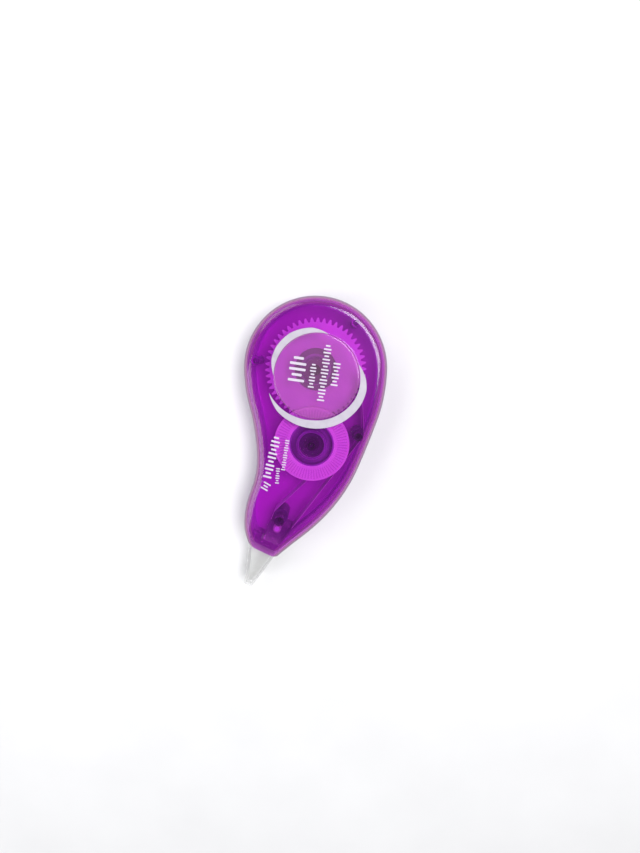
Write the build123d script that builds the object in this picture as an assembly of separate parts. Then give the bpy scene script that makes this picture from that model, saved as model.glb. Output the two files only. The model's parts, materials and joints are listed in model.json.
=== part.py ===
from build123d import *
import os
from math import acos, asin, atan2, cos, hypot, pi, radians, sin, tan

# A hand-held correction tape dispenser, lying on its rear face.
# Plan positions are measured from the supply reel's axis, in millimetres, with the nose towards -Y.
# Heights are measured from the rear face. main() moves the finished pieces to the part's own frame.

# ---- Case ----
head_radius = 19.6        # round end of the case, about the supply reel's axis
wall = 1.3
floor_top = 1.3
parting_height = 6.8
front_inside = 12.3
front_face = 13.6
front_edge_radius = 2.9
rear_edge_radius = 2.2
inside_edge_radius = 1.8
lip_height = 0.7
lip_gap = 0.06
parting_groove = 0.18
pad_centre = (0.5, -1.65)
pad_radius = 11.5         # raised round pad on the front face
pad_rise = 0.6
pad_edge_radius = 0.35
bond = 0.2                # how far a post or pin reaches into the wall it stands on

# ---- Nose: E is the middle of the end face, and the head points along nose_dir ----
end_left = (-19.0, -50.1)
end_right = (-10.1, -54.5)
nose_mid = ((end_left[0] + end_right[0]) / 2, (end_left[1] + end_right[1]) / 2)
nose_angle = 25.0         # degrees from -Y towards -X
nose_dir = (-sin(radians(nose_angle)), -cos(radians(nose_angle)))
nose_side = (-nose_dir[1], nose_dir[0])
run_on = 2.5              # how far the sides run past the end face before they are cut off
end_wall = 1.2

# ---- Gears ----
gear_module = 0.54
supply_teeth = 50
take_up_teeth = 28
backlash = 0.09
centre_distance = gear_module * (supply_teeth + take_up_teeth) / 2
mesh_angle = -92.0        # direction from the supply axis to the take-up axis
take_up_axis = (centre_distance * cos(radians(mesh_angle)), centre_distance * sin(radians(mesh_angle)))

# ---- Heights of the mechanism ----
flange_low, flange_high = 1.6, 2.2
tape_low, tape_high = 2.3, 7.3
gear_low, gear_high = 7.5, 9.0
disc_low, disc_high = 9.3, 10.3
collar_top = 11.3

# ---- Tape ----
tape_thickness = 0.12
tape_gap = 0.03
coil_radius = 12.6
core_radius = 6.4
core_bore = 5.5
hub_radius = 4.3
recess_outer = 5.9        # ring-shaped recess round both reels' hubs
disc_seat_radius = 6.3
recess_depth = 1.2
clutch_low, clutch_high = 4.0, 6.2
clutch_radius = 4.85
clutch_pad_width = 1.8
clutch_slit = 0.7
lightening_holes = 6      # round holes in the supply core's flange
lightening_circle, lightening_radius = 9.4, 1.7
take_up_core_radius = 6.6
take_up_coil_radius = 7.1
take_up_flange_radius = 7.8
disc_radius = 10.7
disc_shoulder_radius = 7.2
disc_chamfer = 0.15
flutes = 72               # fine radial grooves near the disc's rim
flute_circle = 8.7
flute_length, flute_width, flute_depth = 2.8, 0.24, 0.15

# ---- Posts moulded in the rear shell, each (x, y, radius) ----
supply_post_radius = 2.8
take_up_post_radius = 3.5
running_gap = 0.05
supply_post_bore, take_up_post_bore = 1.6, 2.2
post_bore_floor = 3.0
supply_boss_radius, take_up_boss_radius = 3.9, 4.2
boss_gap = 0.15
feed_post = (12.3, -18.3, 1.2)
return_post = (-9.7, -43.5, 1.4)
left_post = (-16.45, 2.1, 1.2)
upper_post = (10.7, 12.7, 1.2)
joining_posts = [feed_post, return_post, left_post, upper_post]
feed_roller_radius = 1.75
return_roller_radius = 2.2
roller_low, roller_high = 1.9, 7.8
post_top = 10.6
socket_radius = 0.75
socket_depth = 3.6
spigot_fit = 0.05
spigot_short = 0.4        # how far a spigot stops short of its socket's floor
supply_stop_outer, supply_stop_inner = 3.7, 3.1
supply_stop_gap = 0.3
supply_pin_radius, supply_pin_low = 1.5, 8.0
take_up_stop_outer, take_up_stop_inner = 4.2, 3.7
take_up_stop_gap = 0.2
snap_radius, snap_core, snap_low = 1.1, 0.4, 7.0
snap_slit_width, snap_slit_length, snap_slit_height = 0.45, 3, 4
snap_slit_angle = 35
head_pin_u, head_pin_v, head_pin_radius = -6.5, 1.3, 0.75
head_pin_top = 9.4
head_boss_radius = 1.15
head_corner_radius = 0.3

# ---- Applicator head and cap, along the nose ----
tip_u, tip_v = 12.6, 0.9
tip_radius = 0.45
head_back_u = -7.7
plate_thickness = 0.45
plate_gap = 0.1
plate_margin = 0.2
plate_flare = -3.9        # left reach of the guide plates just outside the end face
opening_left, opening_right = -1.6, 4.45
opening_low, opening_high = 1.55, 8.05
cap_length = 14.3
cap_wall = 0.45
cap_root_left, cap_root_right = -4.35, 4.3
cap_end_left, cap_end_right = 0.15, 1.85
cap_gap = 0.08
cap_grip = 0.07           # sliding fit of the cap on the head's guide plates
cap_edge_radius = 0.4


def nose_point(u, v):
    """Plan point u along the nose from its end face and v across it."""
    return (
        nose_mid[0] + u * nose_dir[0] + v * nose_side[0],
        nose_mid[1] + u * nose_dir[1] + v * nose_side[1],
    )


def nose_coords(point):
    """The reverse of nose_point."""
    dx, dy = point.X - nose_mid[0], point.Y - nose_mid[1]
    return dx * nose_dir[0] + dy * nose_dir[1], dx * nose_side[0] + dy * nose_side[1]


def prism(face, low, high):
    """The face pulled up between two heights."""
    return Pos(0, 0, low) * extrude(face, high - low)


def disc(x, y, radius, low, high):
    return Pos(x, y, (low + high) / 2) * Cylinder(radius, high - low)


def ring(x, y, outer, inner, low, high):
    return disc(x, y, outer, low, high) - disc(x, y, inner, low - 1, high + 1)


def nose_box(u1, u2, v1, v2, low, high):
    """A box aligned with the nose."""
    corners = [nose_point(u1, v1), nose_point(u2, v1), nose_point(u2, v2), nose_point(u1, v2)]
    return prism(make_face(Polyline(*corners, close=True)), low, high)


def arc_chain(points):
    """Arcs through the points, each tangent to the one before. The first leaves straight towards -Y."""
    arcs, heading = [], (0, -1)
    for start, finish in zip(points, points[1:]):
        arc = TangentArc(start, finish, tangent=heading)
        arcs.append(arc)
        heading = ((arc % 1).X, (arc % 1).Y)
    x, y = points[-1]
    arcs.append(Line((x, y), (x + run_on * heading[0], y + run_on * heading[1])))
    return arcs


def case_outline():
    """Teardrop outline: round head, waisted left side and long right side, run on past the end face."""
    head = ThreePointArc((-head_radius, 0), (0, head_radius), (head_radius, 0))
    right = arc_chain([(head_radius, 0), (17.3, -14.2), (12.7, -27.0), (5.2, -40.0), (-2.8, -48.1), end_right])
    left = arc_chain([(-head_radius, 0), (-18.2, -10.5), (-16.2, -25.0), (-18.0, -34.6), (-20.0, -43.4), end_left])
    return make_face([head, *right, Line(right[-1] @ 1, left[-1] @ 1), *left])


def beyond_end(past=0.0):
    """Everything further out than the flat end face."""
    return nose_box(past, 20, -20, 20, -1, 20)


OUTLINE = case_outline()
INSIDE = offset(OUTLINE, -wall)
LIP = offset(OUTLINE, -wall / 2) - INSIDE
LIP_GROOVE = offset(OUTLINE, -wall / 2 + lip_gap) - offset(OUTLINE, -wall - 0.5)


# ---- Tape path ----
def tape_route(rollers):
    """Tangent lines and arcs round a list of circles (x, y, radius, side): side 1 is left of the path, -1 right."""
    ends = []
    for (x1, y1, r1, s1), (x2, y2, r2, s2) in zip(rollers, rollers[1:]):
        turn = asin((s2 * r2 - s1 * r1) / hypot(x2 - x1, y2 - y1))
        heading = atan2(y2 - y1, x2 - x1) - turn
        left = (-sin(heading), cos(heading))
        start = (x1 - s1 * r1 * left[0], y1 - s1 * r1 * left[1])
        finish = (x2 - s2 * r2 * left[0], y2 - s2 * r2 * left[1])
        ends.append((start, finish, heading))
    pieces = []
    for i, (start, finish, heading) in enumerate(ends):
        pieces.append(Line(start, finish))
        if i + 1 < len(ends):
            nxt, next_heading = ends[i + 1][0], ends[i + 1][2]
            pieces.append(TangentArc(finish, nxt, tangent=(cos(heading), sin(heading))))
    return pieces


def off(radius):
    """Radius of the tape's middle line round a post of that radius."""
    return radius + tape_gap + tape_thickness / 2


tip_centre = nose_point(tip_u, tip_v)
COIL_ROLLER = (0, 0, off(coil_radius), -1)
FEED_ROLLER = (feed_post[0], feed_post[1], off(feed_roller_radius), -1)
TIP_ROLLER = (tip_centre[0], tip_centre[1], off(tip_radius), -1)
RETURN_ROLLER = (return_post[0], return_post[1], off(return_roller_radius), -1)
TAKE_UP_ROLLER = (take_up_axis[0], take_up_axis[1], off(take_up_coil_radius), 1)
ROUTE = tape_route([COIL_ROLLER, FEED_ROLLER, TIP_ROLLER, RETURN_ROLLER, TAKE_UP_ROLLER])


def ribbon(pieces):
    """A strip of tape on edge that follows the pieces."""
    return prism(trace(pieces, line_width=tape_thickness), tape_low, tape_high)


def feed_tape():
    """Fresh tape, from the supply coil over the feed post and round the tip."""
    return ribbon(ROUTE[:4])


def return_tape():
    """Spent backing, from the tip over the return post to the take-up reel."""
    return ribbon(ROUTE[4:])


# ---- Gears ----
def gear_face(teeth, phase):
    """Spur gear outline with involute flanks. phase turns its first tooth to that angle, in degrees."""
    pitch = gear_module * teeth / 2
    base = pitch * cos(radians(20))
    root, tip = pitch - 1.25 * gear_module, pitch + gear_module
    half = (pi * gear_module / 2 - backlash) / 2 / pitch + tan(radians(20)) - radians(20)
    flank = []
    for radius in (max(base, root), pitch - 0.4 * gear_module, pitch, pitch + 0.5 * gear_module, tip):
        pressure = acos(min(1.0, base / radius))
        flank.append((radius, half - (tan(pressure) - pressure)))
    if base > root:
        flank.insert(0, (root, flank[0][1]))
    tooth = [(r, -a) for r, a in flank] + [(r, a) for r, a in reversed(flank)]
    points = []
    for i in range(teeth):
        middle = radians(phase) + 2 * pi * i / teeth
        points += [(r * cos(middle + a), r * sin(middle + a)) for r, a in tooth]
    return make_face(Polyline(*points, close=True))


def supply_gear():
    """Large gear: toothed web, a hub sleeve on the supply post, and a ring groove round the hub."""
    hub_bore = supply_post_radius + running_gap
    body = prism(gear_face(supply_teeth, mesh_angle), gear_low, gear_high)
    body += disc(0, 0, hub_radius, flange_low, gear_high)
    body -= ring(0, 0, recess_outer, hub_radius, gear_high - recess_depth, gear_high + 1)
    return body - disc(0, 0, hub_bore, 0, collar_top)


def clutch_spring():
    """Split friction ring on the gear's hub, with three pads that bear on the core's bore."""
    pads, height = 3, clutch_high - clutch_low
    middle = clutch_low + height / 2
    body = ring(0, 0, clutch_radius, hub_radius, clutch_low, clutch_high)
    reach = ring(0, 0, core_bore - running_gap, clutch_radius - 0.15, clutch_low, clutch_high)
    pad = reach & (Pos(core_bore, 0, middle) * Box(4, clutch_pad_width, height + 1))
    for i in range(pads):
        body += Rot(0, 0, 360 / pads * i) * pad
    return body - Pos(-clutch_radius, 0, middle) * Box(2, clutch_slit, height + 1)


def supply_core():
    """Spool core under the large gear, with a thin rear flange that carries the coil's edge."""
    body = disc(0, 0, core_radius, flange_low, tape_high + 0.05)
    body += disc(0, 0, coil_radius + 0.3, flange_low, flange_high)
    for i in range(lightening_holes):
        angle = 2 * pi * i / lightening_holes
        x, y = lightening_circle * cos(angle), lightening_circle * sin(angle)
        body -= disc(x, y, lightening_radius, 1, flange_high + 0.05)
    return body - disc(0, 0, core_bore, 0, collar_top)


def supply_tape_coil():
    """Wound tape, 5 mm wide."""
    return ring(0, 0, coil_radius, core_radius + 0.02, tape_low, tape_high)


def take_up_reel():
    """Take-up spool: core, small rear flange, pinion and the collar that carries the disc."""
    x, y = take_up_axis
    pinion = gear_face(take_up_teeth, mesh_angle + 180 + 180 / take_up_teeth)
    body = Pos(x, y, 0) * prism(pinion, gear_low, gear_high)
    body += disc(x, y, take_up_core_radius, flange_low, gear_low + 0.1)
    body += disc(x, y, take_up_flange_radius, flange_low, flange_high)
    body += disc(x, y, disc_shoulder_radius, gear_high - 0.1, disc_low)
    body += disc(x, y, disc_seat_radius, gear_high - 0.1, disc_high)
    body -= ring(x, y, recess_outer, hub_radius, gear_low + 0.2, disc_high + 1)
    body += ring(x, y, hub_radius, take_up_post_radius, gear_high, collar_top)
    return body - disc(x, y, take_up_post_radius + running_gap, 0, collar_top + 1)


def take_up_disc():
    """Flange disc pressed on the reel's collar, with a ring groove and fine radial flutes near its rim."""
    x, y = take_up_axis
    body = disc(x, y, disc_radius, disc_low, disc_high)
    body = chamfer(body.edges().filter_by(GeomType.CIRCLE).sort_by(SortBy.RADIUS)[-2:], disc_chamfer)
    cutters = []
    for i in range(flutes):
        turned = Pos(x, y, disc_high) * Rot(0, 0, 360 / flutes * i)
        cutters.append(turned * Pos(flute_circle, 0, 0) * Box(flute_length, flute_width, 2 * flute_depth))
    body -= Compound(children=cutters)
    return body - disc(x, y, disc_seat_radius, 0, collar_top + 1)


def take_up_tape_coil():
    """First turns of spent tape on the take-up core."""
    x, y = take_up_axis
    return ring(x, y, take_up_coil_radius, take_up_core_radius + 0.02, tape_low, tape_high)


# ---- Case shells ----
def nose_opening():
    """The slot in the end face that the applicator head comes out of."""
    return nose_box(-4, 3, opening_left, opening_right, opening_low, opening_high)


def rear_shell():
    """Rear half: floor, side wall with a lip, both reel posts, joining posts and the head's pin."""
    body = prism(OUTLINE, 0, parting_height)
    body = fillet(body.edges().group_by(Axis.Z)[0], rear_edge_radius)
    body = chamfer(body.edges().group_by(Axis.Z)[-1], parting_groove)
    cavity = prism(INSIDE, floor_top, parting_height + 1)
    cavity = fillet(cavity.edges().group_by(Axis.Z)[0], rear_edge_radius - wall)
    body -= cavity - beyond_end(-end_wall)
    body += prism(LIP, parting_height - 0.3, parting_height + lip_height) - beyond_end(-end_wall)
    body -= beyond_end()
    body -= nose_opening()
    x, y = take_up_axis
    foot = floor_top - bond
    body += disc(0, 0, supply_post_radius, foot, post_top)
    body += disc(0, 0, supply_boss_radius, foot, flange_low - boss_gap)
    body += disc(x, y, take_up_post_radius, foot, gear_high)
    body += disc(x, y, take_up_boss_radius, foot, flange_low - boss_gap)
    body -= disc(0, 0, supply_post_bore, post_bore_floor, post_top + 1)
    body -= disc(x, y, take_up_post_bore, post_bore_floor, post_top + 1)
    for px, py, pr in joining_posts:
        body += disc(px, py, pr, foot, post_top)
        body -= disc(px, py, socket_radius, post_top - socket_depth, post_top + 1)
    px, py = nose_point(head_pin_u, head_pin_v)
    return body + disc(px, py, head_pin_radius, foot, head_pin_top)


def split_spigot():
    """Slotted pin on the front shell that snaps into the take-up post."""
    x, y = take_up_axis
    pin = disc(x, y, snap_radius, snap_low, front_inside + bond)
    pin -= disc(x, y, snap_core, snap_low - 1, front_inside)
    slit = Box(snap_slit_length, snap_slit_width, snap_slit_height)
    return pin - Pos(x, y, snap_low + 1.5) * Rot(0, 0, snap_slit_angle) * slit


def front_shell():
    """Front half: domed edge, raised round pad, and the spigots that close on the rear shell's posts."""
    body = prism(OUTLINE, parting_height, front_face)
    body = fillet(body.edges().group_by(Axis.Z)[-1], front_edge_radius)
    body = chamfer(body.edges().group_by(Axis.Z)[0], parting_groove)
    pad = disc(*pad_centre, pad_radius, front_face - 0.4, front_face + pad_rise)
    body += fillet(pad.edges().group_by(Axis.Z)[-1], pad_edge_radius)
    cavity = prism(INSIDE, parting_height - 1, front_inside)
    cavity = fillet(cavity.edges().group_by(Axis.Z)[-1], inside_edge_radius)
    body -= cavity - beyond_end(-end_wall)
    groove = prism(LIP_GROOVE, parting_height - 1, parting_height + lip_height + lip_gap)
    body -= groove - beyond_end(-end_wall + lip_gap)
    body -= beyond_end()
    body -= nose_opening()
    x, y = take_up_axis
    root = front_inside + bond
    body += ring(0, 0, supply_stop_outer, supply_stop_inner, gear_high + supply_stop_gap, root)
    body += disc(0, 0, supply_pin_radius, supply_pin_low, root)
    body += ring(x, y, take_up_stop_outer, take_up_stop_inner, collar_top + take_up_stop_gap, root)
    body += split_spigot()
    for px, py, pr in joining_posts:
        body += disc(px, py, pr, post_top + 0.1, root)
        body += disc(px, py, socket_radius - spigot_fit, post_top - socket_depth + spigot_short, front_inside)
    return body


# ---- Applicator head and cap ----
def ribbon_side(line, u):
    """How far across the nose a straight run of tape lies, u along the nose."""
    (u1, v1), (u2, v2) = (nose_coords(line @ t) for t in (0, 1))
    return v1 + (v2 - v1) * (u - u1) / (u2 - u1)


def wedge(margin, front_u):
    """Plan wedge between the two tape runs at the nose, reaching margin past their middle lines."""
    right_run, left_run = ROUTE[2], ROUTE[4]
    points = []
    for run, side, u in ((left_run, -1, head_back_u), (left_run, -1, front_u),
                         (right_run, 1, front_u), (right_run, 1, head_back_u)):
        points.append(nose_point(u, ribbon_side(run, u) + side * margin))
    return make_face(Polyline(*points, close=True))


def guide_plate():
    """Plan of the head's side plates: the wedge, flared to the left where it leaves the case."""
    front_u, root_u = tip_u - 1.2, 0.3
    flare = [
        nose_point(root_u, 0), nose_point(root_u, plate_flare),
        nose_point(front_u, ribbon_side(ROUTE[4], front_u) - plate_margin), nose_point(front_u, tip_v),
    ]
    return fillet(wedge(plate_margin, front_u).vertices(), head_corner_radius) + make_face(Polyline(*flare, close=True))


def applicator_head():
    """Clear wedge that presses the tape on the paper, with a guide plate at each edge of the tape."""
    inner = -(tape_thickness / 2 + tape_gap)
    body = prism(wedge(inner, tip_u), tape_low - plate_gap, tape_high + plate_gap)
    body += disc(*tip_centre, tip_radius, tape_low - plate_gap, tape_high + plate_gap)
    plate = guide_plate()
    body += prism(plate, tape_low - plate_gap - plate_thickness, tape_low - plate_gap)
    body += prism(plate, tape_high + plate_gap, tape_high + plate_gap + plate_thickness)
    px, py = nose_point(head_pin_u, head_pin_v)
    body += disc(px, py, head_boss_radius, tape_high, head_pin_top)
    return body - disc(px, py, head_pin_radius + running_gap, 0, front_face)


def cap_block(wall_out, base_u, end_u):
    """Block that tapers in plan along the nose, wall_out larger than the cap's hollow."""
    low = tape_low - plate_gap - plate_thickness - cap_grip - wall_out
    high = tape_high + plate_gap + plate_thickness + cap_grip + wall_out
    corners = [
        nose_point(base_u, cap_root_left - wall_out), nose_point(end_u, cap_end_left - wall_out),
        nose_point(end_u, cap_end_right + wall_out), nose_point(base_u, cap_root_right + wall_out),
    ]
    return prism(make_face(Polyline(*corners, close=True)), low, high)


def tip_cap():
    """Clear push-on cap that covers the applicator head."""
    outer = cap_block(cap_wall, cap_gap, cap_length)
    base = outer.faces().sort_by_distance((*nose_point(0, 0), 5))[0]
    rounded = [e for e in outer.edges() if e.distance_to(base) > 1 or e.length > cap_length * 0.7]
    outer = fillet(rounded, cap_edge_radius)
    return outer - cap_block(0, -0.5, cap_length - cap_wall)


# ---- Guide rollers ----
def guide_roller(post, radius):
    """A sleeve that turns on one of the joining posts."""
    x, y, post_radius = post
    body = disc(x, y, radius, roller_low, roller_high)
    return body - disc(x, y, post_radius + running_gap, 0, front_face)


def feed_roller():
    return guide_roller(feed_post, feed_roller_radius)


def return_roller():
    return guide_roller(return_post, return_roller_radius)


PIECES = {
    "rear_shell": rear_shell,
    "front_shell": front_shell,
    "supply_gear": supply_gear,
    "clutch_spring": clutch_spring,
    "supply_core": supply_core,
    "supply_tape_coil": supply_tape_coil,
    "take_up_reel": take_up_reel,
    "take_up_disc": take_up_disc,
    "take_up_tape_coil": take_up_tape_coil,
    "feed_tape": feed_tape,
    "return_tape": return_tape,
    "feed_roller": feed_roller,
    "return_roller": return_roller,
    "applicator_head": applicator_head,
    "tip_cap": tip_cap,
}


def main():
    os.makedirs("parts", exist_ok=True)
    made = {name: make() for name, make in PIECES.items()}
    whole = Compound(children=[Compound([*s.solids()]) for s in made.values()]).bounding_box()
    shift = Pos(-(whole.min.X + whole.max.X) / 2, -(whole.min.Y + whole.max.Y) / 2, 0)
    print("centring shift", shift.position, "size", whole.size)
    for name, shape in made.items():
        export_step(shift * shape, f"parts/{name}.step")


main()
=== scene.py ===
import json
from math import cos, radians, sin

import bmesh
import bpy
from mathutils import Euler, Matrix, Vector


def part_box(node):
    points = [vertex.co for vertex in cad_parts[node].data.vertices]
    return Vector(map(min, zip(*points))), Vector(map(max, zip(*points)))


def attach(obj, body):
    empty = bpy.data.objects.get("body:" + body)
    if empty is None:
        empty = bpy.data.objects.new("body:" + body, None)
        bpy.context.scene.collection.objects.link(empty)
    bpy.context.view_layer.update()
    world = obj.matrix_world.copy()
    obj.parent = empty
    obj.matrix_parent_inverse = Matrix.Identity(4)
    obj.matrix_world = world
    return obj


# Blender scene of the correction tape roller, round its CAD frame. Lengths are metres; MM turns
# millimetres into them. X is to the right, Y towards the round end and Z out of the front face.

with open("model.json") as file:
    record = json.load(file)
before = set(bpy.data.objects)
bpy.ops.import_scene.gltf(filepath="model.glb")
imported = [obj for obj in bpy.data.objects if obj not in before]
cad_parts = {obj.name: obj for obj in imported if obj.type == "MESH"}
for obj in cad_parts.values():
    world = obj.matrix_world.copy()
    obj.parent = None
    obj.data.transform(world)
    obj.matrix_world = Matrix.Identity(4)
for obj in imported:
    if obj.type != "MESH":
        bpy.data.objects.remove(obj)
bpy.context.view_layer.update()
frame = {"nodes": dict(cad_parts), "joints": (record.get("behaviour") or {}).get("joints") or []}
NODES = frame["nodes"]
JOINTS = {joint["name"]: joint for joint in frame["joints"]}
MM = 0.001


# ---- Places and sizes, from the frame's joints and the front shell's box ----
supply_axis = Vector(JOINTS["supply_spin"]["pos_m"])
take_up_axis = Vector(JOINTS["take_up_spin"]["pos_m"])
feed_post = Vector(JOINTS["feed_roller_spin"]["pos_m"])
return_post = Vector(JOINTS["return_roller_spin"]["pos_m"])
head_pin = supply_axis + Vector((-10.62, -46.96, 0)) * MM
# Posts, each with the radius of the painted shade that darkens it
posts = (
    (supply_axis, 2.9 * MM),
    (take_up_axis, 3.6 * MM),
    (feed_post, 1.3 * MM),
    (return_post, 1.5 * MM),
)
pin_radius = 0.85 * MM
boss_radius = 1.2 * MM             # the head's boss round its pin
head_shade_radius = 5.2 * MM
head_shade_edge = 1.6 * MM

# Radius of the painted shade that darkens the recess round the large gear's hub
gear_recess_shade_radius = 5.85 * MM     # ring-shaped recess round the large gear's hub
gear_hub_radius = 4.32 * MM
flutes = 72                        # fine radial grooves of the take-up disc
flutes_inside, flutes_outside = 7.3 * MM, 10.1 * MM

pad_centre = supply_axis + Vector((0.5, -1.65, 0)) * MM
pad_radius = 11.5 * MM
pad_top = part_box("front_shell")[1].z
face_top = pad_top - 0.6 * MM
roof = pad_top - 2.0 * MM          # just under the front wall's inner face
above_rear_face = 0.5 * MM         # a height between the rear wall's outer and inner faces
ink_thickness = 0.03 * MM


# ---- Material helpers ----
class Nodes:
    """A material's node tree, with short calls that add and link nodes."""

    def __init__(self, name):
        self.material = bpy.data.materials.new(name)
        self.material.use_nodes = True
        self.tree = self.material.node_tree
        self.tree.nodes.clear()
        self.output = self.tree.nodes.new("ShaderNodeOutputMaterial")

    def add(self, kind, **settings):
        """A new node. Settings name its properties, or its inputs where it has no such property."""
        node = self.tree.nodes.new("ShaderNode" + kind)
        for name, value in settings.items():
            if hasattr(node, name):
                setattr(node, name, value)
            else:
                self.put(node, name.replace("_", " "), value)
        return node

    def put(self, node, name, value):
        """Sets or links one input, given by its name or its number."""
        socket = node.inputs[name]
        if isinstance(value, bpy.types.NodeSocket):
            self.tree.links.new(value, socket)
        else:
            socket.default_value = value

    def math(self, operation, *values, **settings):
        """A number worked out from one or two others."""
        node = self.add("Math", operation=operation, **settings)
        for i, value in enumerate(values):
            self.put(node, i, value)
        return node.outputs["Value"]

    def vector_math(self, operation, *vectors):
        """A vector worked out from one or two others. LENGTH and DOT_PRODUCT give a number."""
        node = self.add("VectorMath", operation=operation)
        for i, vector in enumerate(vectors):
            self.put(node, i, vector)
        return node.outputs["Value" if operation in ("LENGTH", "DOT_PRODUCT") else "Vector"]

    def part(self, vector, axis):
        """One coordinate of a vector."""
        split = self.add("SeparateXYZ")
        self.put(split, 0, vector)
        return split.outputs[axis]

    def place(self):
        """The shading point in the object's own frame."""
        return self.add("TexCoord").outputs["Object"]

    def noise(self, scale):
        """Noise in object space. Scale is in cells per metre."""
        node = self.add("TexNoise", Scale=scale, Detail=3.0)
        self.put(node, "Vector", self.place())
        return node.outputs["Fac"]

    def span(self, value, low, high):
        """Maps 0..1 to low..high."""
        node = self.add("MapRange")
        self.put(node, "Value", value)
        self.put(node, "To Min", low)
        self.put(node, "To Max", high)
        return node.outputs["Result"]

    def ease(self, value, start, stop, first=0.0, last=1.0):
        """Goes smoothly from first to last as value goes from start to stop."""
        node = self.add("MapRange", interpolation_type="SMOOTHSTEP")
        self.put(node, "Value", value)
        self.put(node, "From Min", start)
        self.put(node, "From Max", stop)
        self.put(node, "To Min", first)
        self.put(node, "To Max", last)
        return node.outputs["Result"]

    def ramp(self, value, first, second, start=0.3, stop=0.7):
        """Blends two colours as value goes from start to stop."""
        node = self.add("ValToRGB")
        stops = node.color_ramp.elements
        stops[0].position, stops[0].color = start, (*first, 1)
        stops[1].position, stops[1].color = stop, (*second, 1)
        self.put(node, "Fac", value)
        return node.outputs["Color"]

    def grained(self, first, second, cells=180.0):
        """A soft mottling between two colours, as moulded plastic has."""
        return self.ramp(self.noise(cells), first, second)

    def blend(self, share, first, second):
        """Mixes two colours; share is how much of the second shows."""
        node = self.add("MixRGB")
        self.put(node, "Fac", share)
        for name, value in (("Color1", first), ("Color2", second)):
            self.put(node, name, (*value, 1) if isinstance(value, tuple) else value)
        return node.outputs[0]

    def tint(self, first, second):
        """The product of two colours."""
        node = self.add("MixRGB", blend_type="MULTIPLY", Fac=1.0)
        self.put(node, "Color1", first)
        self.put(node, "Color2", second)
        return node.outputs[0]

    def times(self, first, second):
        """The product of two numbers, kept between 0 and 1."""
        return self.math("MULTIPLY", first, second, use_clamp=True)

    def plus(self, first, second):
        """The sum of two numbers, kept between 0 and 1."""
        return self.math("ADD", first, second, use_clamp=True)

    def opposite(self, mask):
        """0 where the mask is 1, and 1 where it is 0."""
        return self.span(mask, 1.0, 0.0)

    def bump(self, height, distance, strength):
        """A normal that follows small heights on the surface."""
        node = self.add("Bump", Strength=strength, Distance=distance)
        self.put(node, "Height", height)
        return node.outputs["Normal"]

    def mix(self, share, first, second):
        """Mixes two shaders; share is how much of the second shows."""
        node = self.add("MixShader")
        self.put(node, "Fac", share)
        self.tree.links.new(first.outputs[0], node.inputs[1])
        self.tree.links.new(second.outputs[0], node.inputs[2])
        return node

    def finish(self, shader):
        """Makes the shader the material's surface."""
        self.tree.links.new(shader.outputs[0], self.output.inputs["Surface"])
        return self.material


# ---- Masks: 1 on an area of a surface, 0 off it ----
def plan_from(nodes, axis):
    """The shading point's place in plan, measured from an upright axis."""
    centred = nodes.vector_math("SUBTRACT", nodes.place(), axis)
    return nodes.vector_math("MULTIPLY", centred, Vector((1, 1, 0)))


def within(nodes, axis, radius, edge=0.05 * MM):
    """Inside a radius about an upright axis, with a soft edge."""
    distance = nodes.vector_math("LENGTH", plan_from(nodes, axis))
    return nodes.ease(distance, radius - edge, radius + edge, 1.0, 0.0)


def lower_than(nodes, height):
    return nodes.math("LESS_THAN", nodes.part(nodes.place(), "Z"), height)


def slope_between(nodes, start, stop):
    """Rises from 0 to 1 as a face tilts: start and stop are how far its normal points up or down."""
    normal = nodes.add("NewGeometry").outputs["Normal"]
    upright = nodes.math("ABSOLUTE", nodes.part(normal, "Z"))
    return nodes.ease(upright, start, stop)


def pad_area(nodes):
    return within(nodes, pad_centre, pad_radius)


def shoulder_area(nodes):
    """The rounded edge of the front face, between the level face and the upright side, where painted sheen
    goes.
    """
    return nodes.times(slope_between(nodes, 0.995, 0.78), slope_between(nodes, 0.10, 0.50))


def inner_floor(nodes):
    """Level faces inside the case."""
    return nodes.times(slope_between(nodes, 0.6, 0.95), nodes.opposite(lower_than(nodes, above_rear_face)))


def inner_wall(nodes):
    """Upright walls that look in towards the middle of the case."""
    normal = nodes.add("NewGeometry").outputs["Normal"]
    outward = nodes.vector_math("DOT_PRODUCT", normal, plan_from(nodes, take_up_axis))
    inward = nodes.math("LESS_THAN", outward, 0.0)
    return nodes.times(inward, slope_between(nodes, 0.5, 0.2))


def post_area(nodes):
    """The reels' and rollers' posts under the front wall, the area given painted shade."""
    total = 0.0
    for axis, radius in posts:
        total = nodes.plus(total, within(nodes, axis, radius))
    return nodes.times(total, lower_than(nodes, roof))


def pin_area(nodes):
    """The head's pin, under the front wall."""
    return nodes.times(within(nodes, head_pin, pin_radius), lower_than(nodes, roof))


def flute_lines(nodes, axis, count):
    """0 to 1 across each of the fine radial flutes about an axis."""
    plan = plan_from(nodes, axis)
    angle = nodes.math("ARCTAN2", nodes.part(plan, "Y"), nodes.part(plan, "X"))
    wave = nodes.math("COSINE", nodes.math("MULTIPLY", angle, float(count)))
    return nodes.span(wave, 0.5, 1.0)


# ---- Clear plastics ----
def outside_shine(nodes, share=1.0):
    """Mirror share of a clear piece's outer faces; light that leaves the plastic isn't mirrored."""
    most_mirrored = 0.14
    fresnel = nodes.math("MINIMUM", nodes.add("Fresnel", IOR=1.5).outputs[0], most_mirrored)
    entering = nodes.span(nodes.add("NewGeometry").outputs["Backfacing"], share, 0.0)
    return nodes.math("MULTIPLY", fresnel, entering)


# Areas of the case that are milkier, greyer or darker than the rest: a mask, a colour and added haze. The
# shoulder's paler colour is painted sheen and the posts' near-black is painted shade.
pad_patch = (pad_area, (0.48, 0.20, 0.44), 0.13)
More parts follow.
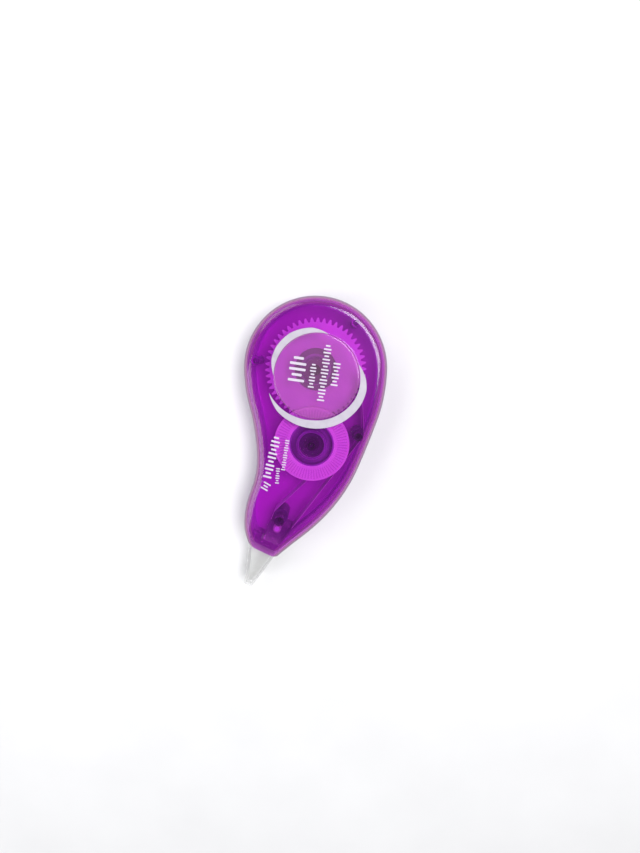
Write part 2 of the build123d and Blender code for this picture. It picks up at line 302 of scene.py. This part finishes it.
# Painted sheen: the rounded edge is coloured a paler, greyer lilac and made hazier, standing in for the
# light it catches.
shoulder_sheen_patch = (shoulder_area, (0.43, 0.18, 0.33), 0.27)
floor_patch = (inner_floor, (0.83, 0.085, 0.92), 0.32)
# Painted shade: the posts are coloured near-black for the shade down in their deep hollows.
post_shade_patch = (post_area, (0.030, 0.001, 0.055), 0.5)
pin_patch = (pin_area, (0.62, 0.46, 0.74), 0.75)


def tinted_plastic(name, passed, least_haze, shine_share, patches):
    """Clear purple polystyrene: light is tinted on its way through and the surface is glossy."""
    nodes = Nodes(name)
    facing = nodes.add("LayerWeight", Blend=0.18).outputs["Facing"]
    wall = inner_wall(nodes)
    # Painted shade: outline thickens the haze where the face turns edge-on, and edge_on_shade below darkens
    # its colour there, to paint a dark rim.
    outline = nodes.times(nodes.ease(facing, 0.12, 0.27, 0.0, 0.8), nodes.opposite(wall))
    share = nodes.plus(nodes.span(facing, least_haze, 0.6), outline)
    violet = nodes.grained((0.34, 0.012, 0.50), (0.42, 0.025, 0.58))
    # Painted light: walls that look in are coloured a brighter milky purple, lifting them out of the shade
    # they would be in.
    milk_and_painted_light = nodes.blend(wall, violet, (0.56, 0.06, 0.62))
    for area, colour, added in patches:
        mask = area(nodes)
        milk_and_painted_light = nodes.blend(mask, milk_and_painted_light, colour)
        share = nodes.plus(share, nodes.times(mask, added))
    # Painted shade: the colour darkens as the face turns edge-on, giving the dark rim.
    edge_on_shade = nodes.ramp(facing, (1, 1, 1), (0.34, 0.10, 0.44), 0.12, 0.28)
    haze = nodes.add("BsdfPrincipled", Roughness=0.3, IOR=1.5)
    nodes.put(haze, "Base Color", nodes.blend(wall, nodes.tint(milk_and_painted_light, edge_on_shade), milk_and_painted_light))
    through = nodes.add("BsdfTransparent")
    nodes.put(through, "Color", nodes.grained(*passed, 120.0))
    body = nodes.mix(share, through, haze)
    shine = nodes.add("BsdfGlossy")
    nodes.put(shine, "Roughness", nodes.span(nodes.noise(400.0), 0.10, 0.18))
    nodes.put(shine, "Normal", nodes.add("Bevel", samples=8, Radius=0.6 * MM).outputs[0])
    return nodes.finish(nodes.mix(outside_shine(nodes, shine_share), body, shine))


def uncoloured(nodes):
    """The faint cloudiness of clear plastic with no tint."""
    return nodes.grained((0.86, 0.87, 0.86), (0.94, 0.94, 0.93), 250.0)


def clear_plastic(nodes, milk_and_painted_light, least_haze, passed):
    """Translucent plastic: milk is the colour of its haze, with any painted shade in it, and passed that of
    the light it lets through.
    """
    haze = nodes.add("BsdfPrincipled", Roughness=0.35, IOR=1.5)
    nodes.put(haze, "Base Color", milk_and_painted_light)
    through = nodes.add("BsdfTransparent", Color=(*passed, 1))
    facing = nodes.add("LayerWeight", Blend=0.25).outputs["Facing"]
    body = nodes.mix(nodes.span(facing, least_haze, 0.85), through, haze)
    shine = nodes.add("BsdfGlossy", Roughness=0.08)
    return nodes.finish(nodes.mix(outside_shine(nodes), body, shine))


def cap_plastic():
    nodes = Nodes("cap_plastic")
    return clear_plastic(nodes, uncoloured(nodes), 0.12, (0.97, 0.97, 0.97))


def head_plastic():
    """The applicator head: uncoloured at the tip, in shade round its pin, with a pale boss."""
    nodes = Nodes("head_plastic")
    near_pin = within(nodes, head_pin, head_shade_radius, head_shade_edge)
    shaded = nodes.blend(near_pin, uncoloured(nodes), (0.12, 0.04, 0.16))
    milk_and_painted_light = nodes.blend(within(nodes, head_pin, boss_radius), shaded, (0.95, 0.93, 0.95))
    return clear_plastic(nodes, milk_and_painted_light, 0.32, (0.92, 0.93, 0.93))


# ---- Moulded plastics ----
def moulded(nodes, colour):
    """Nearly opaque moulded plastic of a colour, with a fine surface grain."""
    shader = nodes.add("BsdfPrincipled", IOR=1.5)
    nodes.put(shader, "Subsurface Weight", 0.12)
    nodes.put(shader, "Subsurface Scale", 1.0 * MM)
    nodes.put(shader, "Base Color", colour)
    nodes.put(shader, "Roughness", nodes.span(nodes.noise(900.0), 0.25, 0.4))
    nodes.put(shader, "Normal", nodes.bump(nodes.noise(2500.0), 0.006 * MM, 0.5))
    return nodes.finish(shader)


def moulded_plastic(name, first, second):
    """Moulded plastic, mottled between two close colours."""
    nodes = Nodes(name)
    return moulded(nodes, nodes.grained(first, second))


def gear_plastic():
    """Pale gear plastic, with painted shade: dark in the ring-shaped recess round the hub."""
    nodes = Nodes("gear_plastic")
    pale = nodes.grained((0.66, 0.50, 0.72), (0.74, 0.58, 0.80))
    # Painted shade: the recess round the hub is coloured near-black to stand for the shade that falls in
    # it.
    recess_shaded = nodes.blend(within(nodes, supply_axis, gear_recess_shade_radius), pale, (0.07, 0.015, 0.11))
    hub = within(nodes, supply_axis, gear_hub_radius)
    return moulded(nodes, nodes.blend(hub, recess_shaded, (0.30, 0.14, 0.40)))


def disc_plastic():
    """Pale flange disc with fine radial flutes near its rim, drawn as darker lines of painted shade."""
    nodes = Nodes("disc_plastic")
    pale = nodes.grained((0.80, 0.88, 0.80), (0.86, 0.96, 0.85))
    waves = flute_lines(nodes, take_up_axis, flutes)
    # Painted shade: each flute is darkened in colour, standing in for the shade in its groove.
    flute_shaded = nodes.tint(pale, nodes.ramp(waves, (0.97, 0.97, 0.97), (0.70, 0.66, 0.74), 0.70, 0.97))
    fluted = nodes.blend(within(nodes, take_up_axis, flutes_outside), pale, flute_shaded)
    return moulded(nodes, nodes.blend(within(nodes, take_up_axis, flutes_inside), fluted, pale))


# ---- Tape, ink and floor ----
def wound_tape():
    """The edge of a coil of tape: fine rings about the supply axis."""
    nodes = Nodes("coated_tape")
    shader = nodes.add("BsdfPrincipled", Roughness=0.6)
    rings = nodes.add("TexWave", wave_type="RINGS", rings_direction="Z", Scale=900.0, Distortion=0.4)
    nodes.put(rings, "Vector", plan_from(nodes, supply_axis))
    turns = rings.outputs["Fac"]
    nodes.put(shader, "Base Color", nodes.ramp(turns, (0.58, 0.56, 0.60), (0.70, 0.68, 0.72), 0.2, 0.9))
    nodes.put(shader, "Normal", nodes.bump(turns, 0.02 * MM, 0.6))
    return nodes.finish(shader)


def thin_coat(name, first, second, colour_cells, roughness, roughness_cells):
    """A smooth thin layer, slightly uneven in colour and gloss: backing paper or dried ink."""
    nodes = Nodes(name)
    shader = nodes.add("BsdfPrincipled")
    nodes.put(shader, "Base Color", nodes.grained(first, second, colour_cells))
    nodes.put(shader, "Roughness", nodes.span(nodes.noise(roughness_cells), *roughness))
    return nodes.finish(shader)


def backing_paper():
    """Smooth backing with the film worn off."""
    return thin_coat("backing_tape", (0.46, 0.42, 0.50), (0.56, 0.52, 0.60), 700.0, (0.3, 0.5), 1500.0)


def ink(name, first, second):
    """Printing ink between two close colours."""
    return thin_coat(name, first, second, 500.0, (0.28, 0.42), 1200.0)


def paper_floor():
    """Plain pale floor."""
    nodes = Nodes("floor")
    shader = nodes.add("BsdfPrincipled", Roughness=0.8)
    nodes.put(shader, "Base Color", nodes.grained((0.70, 0.70, 0.71), (0.73, 0.73, 0.74), 30.0))
    return nodes.finish(shader)


# ---- Mesh helpers ----
def new_piece(name, mesh, material, body="case"):
    """A finished piece that rides on a body."""
    made = bpy.data.objects.new(name, mesh)
    bpy.context.scene.collection.objects.link(made)
    mesh.materials.append(material)
    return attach(made, body)


def plate(points, low, thickness):
    """A closed flat plate over an outline in plan."""
    bm = bmesh.new()
    bottom = [bm.verts.new((x, y, low)) for x, y in points]
    face = bm.faces.new(bottom)
    raised = bmesh.ops.extrude_face_region(bm, geom=[face])["geom"]
    top = [v for v in raised if isinstance(v, bmesh.types.BMVert)]
    bmesh.ops.translate(bm, verts=top, vec=(0, 0, thickness))
    bmesh.ops.recalc_face_normals(bm, faces=bm.faces)
    return bm


def to_mesh(name, bm):
    """Turns a bmesh into a mesh and frees it."""
    mesh = bpy.data.meshes.new(name)
    bm.to_mesh(mesh)
    bm.free()
    return mesh


# ---- Crescents round the pad. Stations: angle about the pad in degrees, inner and outer radius in mm ----
upper_swoosh = [
    (75, 11.55, 11.6), (96, 11.55, 12.85), (123, 11.55, 13.4),
    (145, 11.55, 13.3), (160, 11.55, 12.9), (180, 11.55, 11.6),
]
lower_swoosh = [
    (200, 13.6, 13.65), (222, 13.0, 14.3), (243, 12.4, 14.25),
    (264, 11.95, 14.2), (305, 11.9, 14.2), (330, 12.0, 14.15),
    (345, 11.9, 13.9), (358, 11.7, 13.2), (377, 11.6, 11.7),
]


def radii_at(stations, angle):
    """Inner and outer radius of a crescent at an angle, in line between its stations."""
    for (start, inner_start, outer_start), (stop, inner_stop, outer_stop) in zip(stations, stations[1:]):
        if start <= angle <= stop:
            t = (angle - start) / (stop - start)
            inner = inner_start + (inner_stop - inner_start) * t
            outer = outer_start + (outer_stop - outer_start) * t
            return inner, outer
    return stations[-1][1:]


def round_pad(radius, angle):
    """A point in plan about the pad's centre. Radius is in mm, angle in degrees."""
    return (
        pad_centre.x + radius * MM * cos(radians(angle)),
        pad_centre.y + radius * MM * sin(radians(angle)),
    )


def swoosh(name, stations, material):
    """A printed crescent: out along its inner edge and back along its outer one."""
    steps = 96
    first, last = stations[0][0], stations[-1][0]
    angles = [first + (last - first) * i / steps for i in range(steps + 1)]
    edges = [radii_at(stations, angle) for angle in angles]
    outline = [round_pad(inner, angle) for angle, (inner, _) in zip(angles, edges)]
    for angle, (_, outer) in reversed(list(zip(angles, edges))[1:-1]):
        outline.append(round_pad(outer, angle))
    mesh = to_mesh(name, plate(outline, face_top, ink_thickness))
    return new_piece(name, mesh, material)


# ---- Rows of strokes. Each row: its middle in mm from the supply axis, angle, length, height, strokes ----
pad_rows = (
    ((-4.64, 0.25), 83, 7.4, 4.4, 5),
    ((-0.65, -1.46), 83, 6.8, 1.6, 8),
    ((2.56, -0.74), 83, 15.4, 2.0, 17),
    ((5.55, -0.99), 83, 6.6, 1.9, 7),
)
face_rows = (
    ((-11.56, -24.26), 77, 12.6, 2.4, 11),
    ((-7.84, -23.53), 82, 9.0, 1.2, 13),
    ((-9.99, -29.49), 86, 4.8, 1.1, 7),
    ((-13.3, -32.6), 60, 2.6, 2.2, 3),
)
stroke_width = 0.46                # share of the distance from stroke to stroke
short_stroke = 0.62                # height of every third stroke, as a share of the others
corner_share, corner_steps = 0.35, 4


def add_plate(bm, points, low):
    """Adds one printed shape to the mesh."""
    mesh = to_mesh("shape", plate(points, low, ink_thickness))
    bm.from_mesh(mesh)
    bpy.data.meshes.remove(mesh)


def rounded_bar(bm, middle, angle, length, height, low):
    """Adds a flat bar with round corners, turned to angle."""
    corner = min(length, height) * corner_share
    points = []
    for side_x, side_y, start in ((1, 1, 0), (-1, 1, 90), (-1, -1, 180), (1, -1, 270)):
        centre_x = side_x * (length / 2 - corner)
        centre_y = side_y * (height / 2 - corner)
        for i in range(corner_steps + 1):
            turned = radians(start + 90 * i / corner_steps)
            points.append((centre_x + corner * cos(turned), centre_y + corner * sin(turned)))
    turn = Matrix.Rotation(radians(angle), 2)
    add_plate(bm, [tuple(middle.xy + turn @ Vector(point)) for point in points], low)


def stroke_row(bm, place, angle, row_length, height, count, low):
    """Adds a row of plain upright strokes, every third one short."""
    middle = supply_axis + Vector((*place, 0)) * MM
    along = Vector((cos(radians(angle)), sin(radians(angle)), 0))
    pitch = row_length * MM / count
    for i in range(count):
        spot = middle + along * pitch * (i - (count - 1) / 2)
        tall = height * MM * (short_stroke if i % 3 == 1 else 1.0)
        rounded_bar(bm, spot, angle, pitch * stroke_width, tall, low)


def print_marks(material):
    """Plain strokes where a maker's print would be, on the pad and on the left of the face."""
    bm = bmesh.new()
    for row in pad_rows:
        stroke_row(bm, *row, pad_top)
    for row in face_rows:
        stroke_row(bm, *row, face_top)
    return new_piece("print_marks", to_mesh("print_marks", bm), material)


# ---- Camera, floor and lights ----
def make_camera():
    """Looks down on the front face, tilted a little about the case's width."""
    data = bpy.data.cameras.new("camera")
    data.lens, data.sensor_width, data.clip_start = 18.99, 36.0, 0.005
    camera = bpy.data.objects.new("camera", data)
    camera.location = supply_axis.xy.to_3d() + Vector((4.6, 5.99, 134.6)) * MM
    camera.rotation_euler = Euler((radians(-9.92), radians(1.58), radians(1.0)))
    bpy.context.scene.collection.objects.link(camera)
    bpy.context.scene.camera = camera


def make_floor():
    half_width = 0.6
    bm = bmesh.new()
    bmesh.ops.create_grid(bm, x_segments=8, y_segments=8, size=half_width)
    floor = bpy.data.objects.new("floor", to_mesh("floor", bm))
    floor.data.materials.append(paper_floor())
    bpy.context.scene.collection.objects.link(floor)


def area_light(name, place, size, power):
    """A rectangular soft light that faces the origin."""
    data = bpy.data.lights.new(name, "AREA")
    data.shape, data.size, data.size_y, data.energy = "RECTANGLE", *size, power
    light = bpy.data.objects.new(name, data)
    light.location = place
    light.rotation_euler = (-Vector(place)).to_track_quat("-Z", "Y").to_euler()
    bpy.context.scene.collection.objects.link(light)
    return light


def make_lights():
    """A soft key at the upper left, a bright strip at the upper right, a soft top and a low side light."""
    area_light("key", (-0.32, 0.42, 0.45), (0.35, 0.35), 1.1)
    area_light("strip", (0.19, 0.13, 0.50), (0.30, 0.22), 2.8)
    area_light("top", (0.08, -0.16, 0.60), (0.40, 0.40), 1.0).visible_glossy = False
    area_light("side", (-0.32, -0.08, 0.26), (0.20, 0.34), 0.75)
    world = bpy.data.worlds.new("world")
    world.use_nodes = True
    background = world.node_tree.nodes["Background"]
    background.inputs["Color"].default_value = (0.95, 0.96, 1.0, 1)
    background.inputs["Strength"].default_value = 0.16
    bpy.context.scene.world = world


# ---- Materials on the CAD nodes ----
def paint(material, *names):
    """Gives whole nodes one material."""
    for name in names:
        slots = NODES[name].data.materials
        slots.clear()
        slots.append(material)
        for polygon in NODES[name].data.polygons:
            polygon.material_index = 0


def paint_all():
    """Clear and deep are the tints that light takes on through the front and the rear shell."""
    clear = ((0.90, 0.48, 0.93), (0.93, 0.53, 0.95))
    deep = ((0.86, 0.36, 0.91), (0.90, 0.42, 0.94))
    front_patches = (pad_patch, shoulder_sheen_patch, post_shade_patch, pin_patch)
    rear_patches = (floor_patch, post_shade_patch, pin_patch)
    paint(tinted_plastic("front_shell", clear, 0.05, 1.0, front_patches), "front_shell")
    paint(tinted_plastic("rear_shell", deep, 0.10, 0.6, rear_patches), "rear_shell")
    paint(gear_plastic(), "supply_gear")
    paint(disc_plastic(), "take_up_disc")
    reel = moulded_plastic("reel_plastic", (0.24, 0.13, 0.34), (0.30, 0.17, 0.40))
    paint(reel, "take_up_reel")
    roller = moulded_plastic("roller_plastic", (0.045, 0.010, 0.075), (0.065, 0.018, 0.10))
    paint(roller, "feed_roller", "return_roller")
    core = moulded_plastic("core_plastic", (0.60, 0.50, 0.66), (0.66, 0.56, 0.72))
    paint(core, "supply_core")
    clutch = moulded_plastic("clutch_plastic", (0.05, 0.03, 0.06), (0.08, 0.05, 0.09))
    paint(clutch, "clutch_spring")
    paint(wound_tape(), "supply_tape_coil", "feed_tape")
    paint(backing_paper(), "take_up_tape_coil", "return_tape")
    paint(head_plastic(), "applicator_head")
    paint(cap_plastic(), "tip_cap")


paint_all()
lavender = ink("ink", (0.40, 0.37, 0.44), (0.46, 0.43, 0.50))
pale_ink = ink("white_ink", (0.50, 0.45, 0.55), (0.57, 0.52, 0.62))
swoosh("print_upper", upper_swoosh, lavender)
swoosh("print_lower", lower_swoosh, lavender)
print_marks(pale_ink)
make_camera()
make_floor()
make_lights()
bpy.context.scene.view_settings.view_transform = "Standard"
